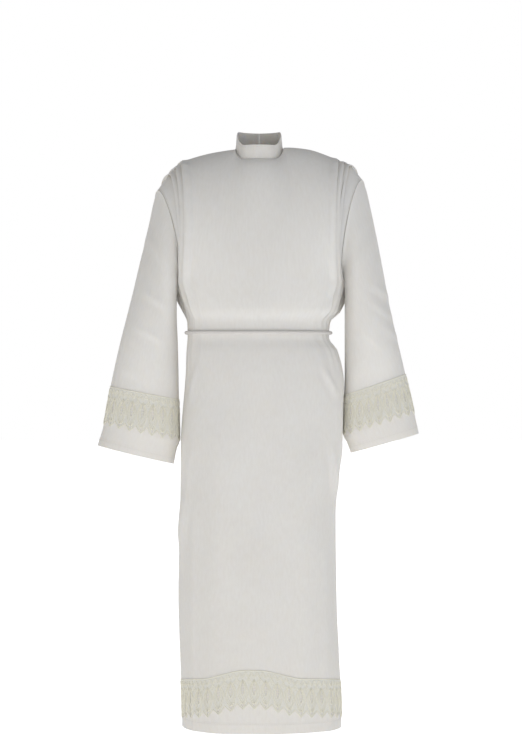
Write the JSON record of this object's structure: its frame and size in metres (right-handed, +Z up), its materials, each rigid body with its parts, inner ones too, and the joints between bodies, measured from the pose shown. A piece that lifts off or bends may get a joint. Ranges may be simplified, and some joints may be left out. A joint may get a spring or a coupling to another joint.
{
  "type": "lace-trimmed alb with cord cincture",
  "caption": "White floor-length alb in its worn form, with shoulder pleats, stand collar, wide sleeves, lace bands at hem and cuffs, and a cord cincture.",
  "frame": {"origin": "middle of the neck opening at the height where the wearer's shoulders carry it", "axes": "+Z up, the front faces -Y, +X towards the viewer's right when facing the front"},
  "size_m": [0.7699, 0.3062, 1.426],
  "materials": {
    "alb_cloth": "plain-woven wool and polyester blend, matt",
    "lace": "cotton openwork lace, matt",
    "cord": "twisted rayon cord, slight sheen"
  },
  "bodies": {
    "root": {"front": "alb_cloth", "back": "alb_cloth", "sleeve_left": "alb_cloth", "sleeve_right": "alb_cloth", "collar": "alb_cloth", "lace_hem_front": "lace", "lace_hem_back": "lace", "lace_cuff_left_front": "lace", "lace_cuff_left_back": "lace", "lace_cuff_right_front": "lace", "lace_cuff_right_back": "lace", "cincture": "cord", "cincture_knot": "cord"}
  },
  "joints": []
}
